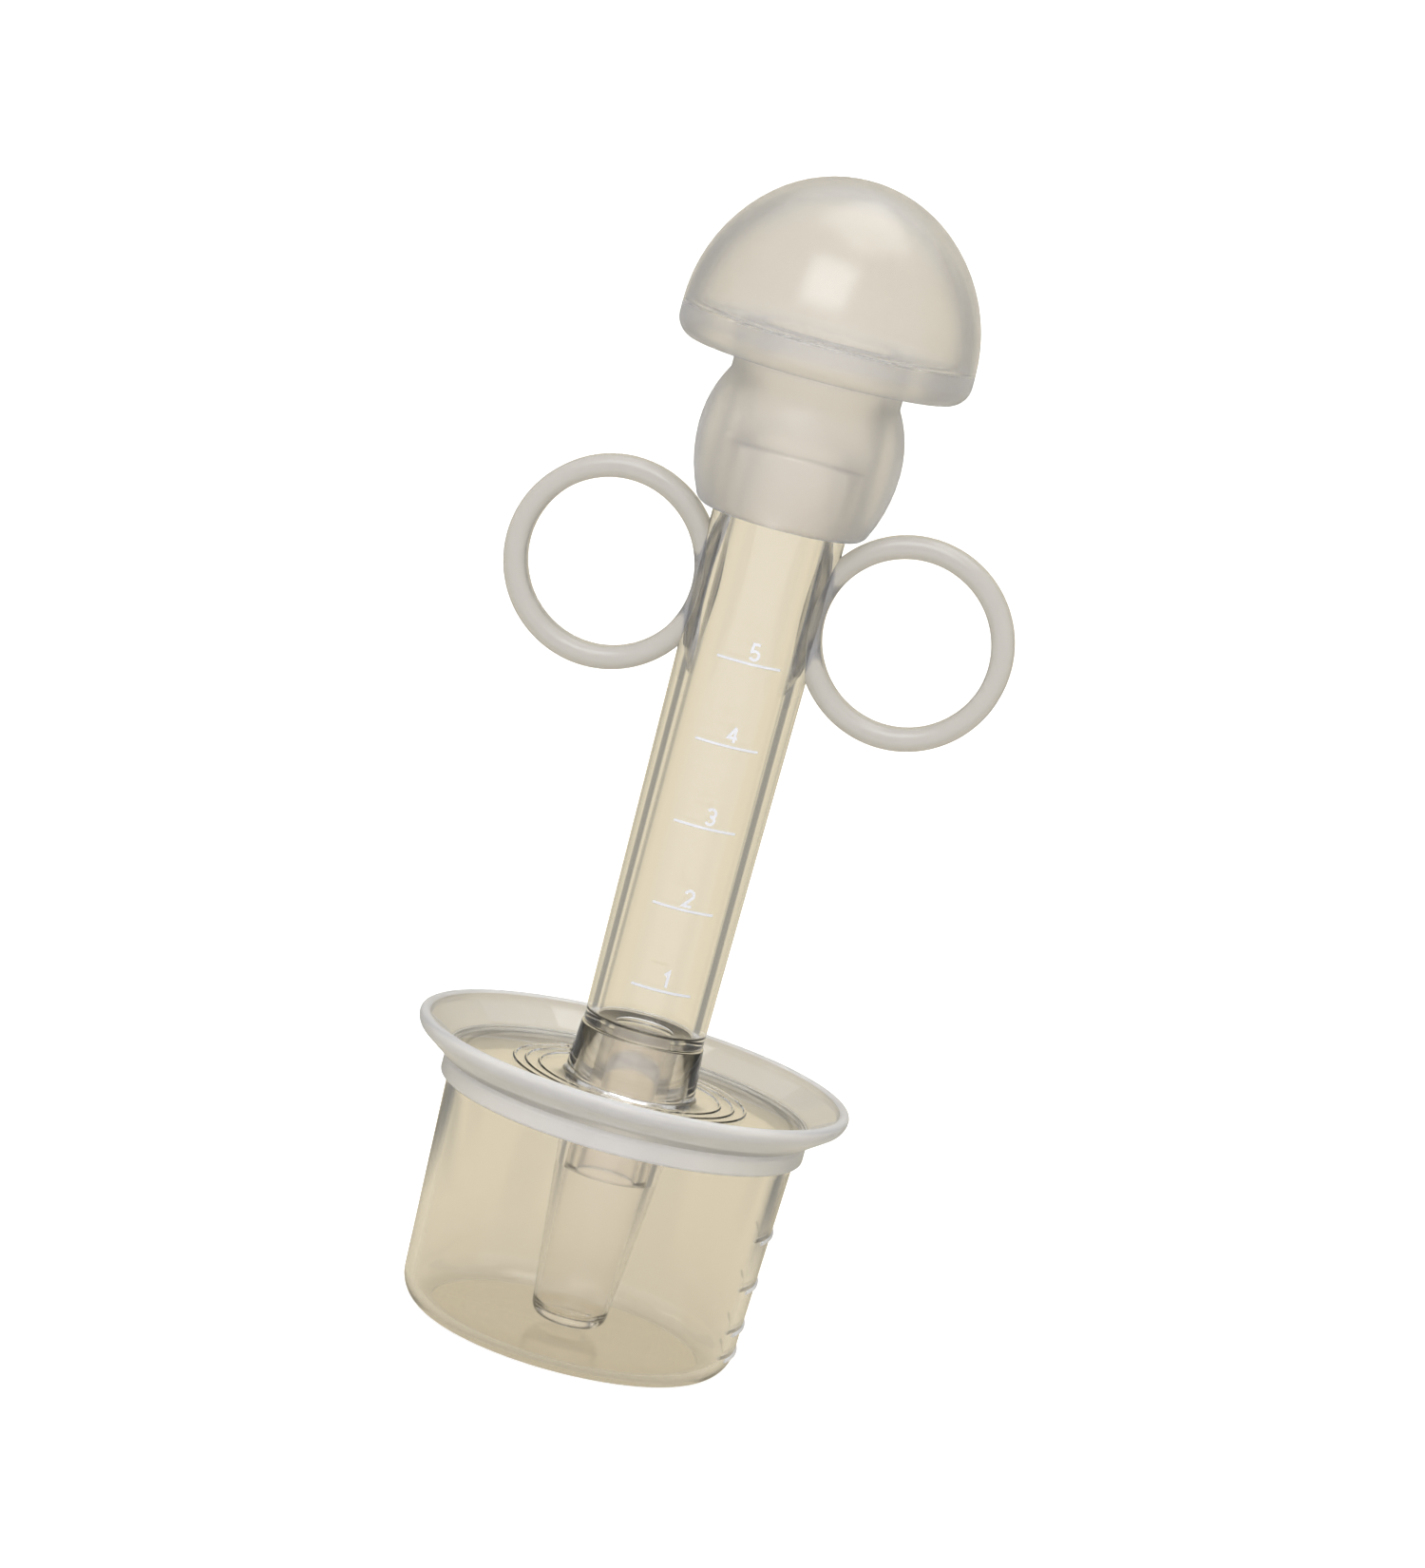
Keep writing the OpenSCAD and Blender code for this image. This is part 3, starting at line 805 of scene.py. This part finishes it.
class DROPPER_OT_stage(bpy.types.Operator):
    """Make the floor and backdrop, the lights and the camera"""

    bl_idname = "dropper.stage"
    bl_label = "Studio"

    def execute(self, context):
        stage = context.scene.dropper_stage
        scene = context.scene
        scene.view_settings.view_transform = "Standard"
        scene.cycles.max_bounces = scene.cycles.transmission_bounces = BOUNCES

        outline = Outline(0, 0).to(1.1, 0)
        outline.around((1.1, 0.5), 90).to(1.6, 1.3)
        bm = outline.spun(steps=96)
        bmesh.ops.reverse_faces(bm, faces=bm.faces)
        backdrop = mesh_object("backdrop", bm)
        finish = Finish("backdrop", Roughness=0.9, Emission_Strength=1.0)
        seen = finish.node("ShaderNodeLightPath", output="Is Camera Ray")
        # Warm behind the object and neutral in front, as far as the plastic sees it
        behind = finish.step(finish.axis("Y"), -0.3, 0.0)
        # The painted dark sides, which stand in for a studio's unlit sides, lie from about 30 to 55
        # degrees off the line straight behind
        slant = (finish.axis("X") / finish.axis("Y")) ** 2
        aside = behind * finish.step(finish.reach(), 0.05, 0.1)
        flags = aside * finish.step(slant, 0.22, 0.45) * finish.step(slant, 1.4, 2.4, 1, 0)
        tint = finish.mix(behind, (*stage.cool, 1), (*stage.paper, 1))
        tint = finish.mix(flags * 0.75, tint, (*stage.flag, 1))
        pale = finish.mix(0.5, (0, 0, 0, 1), tint)
        finish.set(Base_Color=finish.mix(seen, pale, (*stage.backdrop, 1)))
        level = finish.step(finish.axis("Y"), -0.6, 0.6, stage.glow * 0.8, stage.glow)
        grey = finish.node("ShaderNodeCombineColor", None, {0: level, 1: level, 2: level})
        lit = finish.node("ShaderNodeMix", {"data_type": "RGBA", "blend_type": "MULTIPLY"},
                          {0: 1.0 - seen, 6: grey, 7: tint}, 2)
        finish.set(Emission_Color=finish.mix(seen * 0.35, lit, (1, 1, 1, 1)))
        shade(backdrop, finish)

        world = bpy.data.worlds.new("room")
        world.use_nodes = True
        light = world.node_tree.nodes["Background"].inputs
        light["Color"].default_value = (1, 1, 1, 1)
        light["Strength"].default_value = stage.room
        scene.world = world

        softbox("overhead_softbox", stage.key, 0.9, (0.1, 0.1, 1.25))
        softbox("front_softbox", stage.front, 0.6, (-0.12, -0.75, 0.75), stage.cool)

        camera = bpy.data.cameras.new("camera")
        camera.sensor_fit, camera.sensor_width, camera.lens = "HORIZONTAL", 36, stage.lens
        camera.clip_start, camera.clip_end = 0.01, 20
        view = bpy.data.objects.new("camera", camera)
        scene.collection.objects.link(view)
        view.matrix_world = (
            Matrix.Rotation(stage.camera_turn, 4, "Z")
            @ Matrix.Translation((stage.camera_aside, -stage.camera_distance,
                                  stage.camera_height))
            @ Matrix.Rotation(math.pi / 2 - stage.camera_pitch, 4, "X")
            @ Matrix.Rotation(stage.camera_lean, 4, "Z"))
        scene.camera = view
        return {"FINISHED"}


def softbox(name, power, width, place_at, tint=(1, 1, 1)):
    """A square soft light that faces the middle of the object."""
    light = bpy.data.lights.new(name, "AREA")
    light.energy, light.size, light.color = power, width, tint
    made = bpy.data.objects.new(name, light)
    bpy.context.scene.collection.objects.link(made)
    middle = (CAD_BOX[0] + CAD_BOX[1]) / 2
    made.location = place_at
    made.rotation_euler = (middle - Vector(place_at)).to_track_quat("-Z", "Y").to_euler()
    return made


# ---------------------------------------------------------------- sidebar


SETTINGS = {
    "dropper_cup": CupSettings,
    "dropper_lid": LidSettings,
    "dropper_barrel": BarrelSettings,
    "dropper_nozzle": NozzleSettings,
    "dropper_bulb": BulbSettings,
    "dropper_plastic": PlasticSettings,
    "dropper_stage": StageSettings,
}
OPERATORS = (DROPPER_OT_cup, DROPPER_OT_lid, DROPPER_OT_barrel, DROPPER_OT_rings,
             DROPPER_OT_nozzle, DROPPER_OT_bulb, DROPPER_OT_stage)


class DROPPER_PT_pieces(bpy.types.Panel):
    """Pieces of the dropper and their settings"""

    bl_idname = "DROPPER_PT_pieces"
    bl_label = "Medicine dropper"
    bl_space_type = "VIEW_3D"
    bl_region_type = "UI"
    bl_category = "Dropper"

    def draw(self, context):
        for operator in OPERATORS:
            self.layout.operator(operator.bl_idname)
        for name, group in SETTINGS.items():
            box = self.layout.box()
            box.label(text=name.replace("dropper_", "").capitalize())
            for prop in group.__annotations__:
                box.prop(getattr(context.scene, name), prop)


def register():
    """Adds the settings, operators and panel."""
    for cls in (*SETTINGS.values(), *OPERATORS, DROPPER_PT_pieces):
        bpy.utils.register_class(cls)
    for name, group in SETTINGS.items():
        setattr(bpy.types.Scene, name, PointerProperty(type=group))


def unregister():
    """Removes the panel, operators and settings."""
    for name in SETTINGS:
        delattr(bpy.types.Scene, name)
    for cls in reversed((*SETTINGS.values(), *OPERATORS, DROPPER_PT_pieces)):
        bpy.utils.unregister_class(cls)


def main():
    """Builds the dropper and its stage."""
    register()
    for operator in OPERATORS:
        group, name = operator.bl_idname.split(".")
        getattr(getattr(bpy.ops, group), name)()


if __name__ == "__main__":
    main()
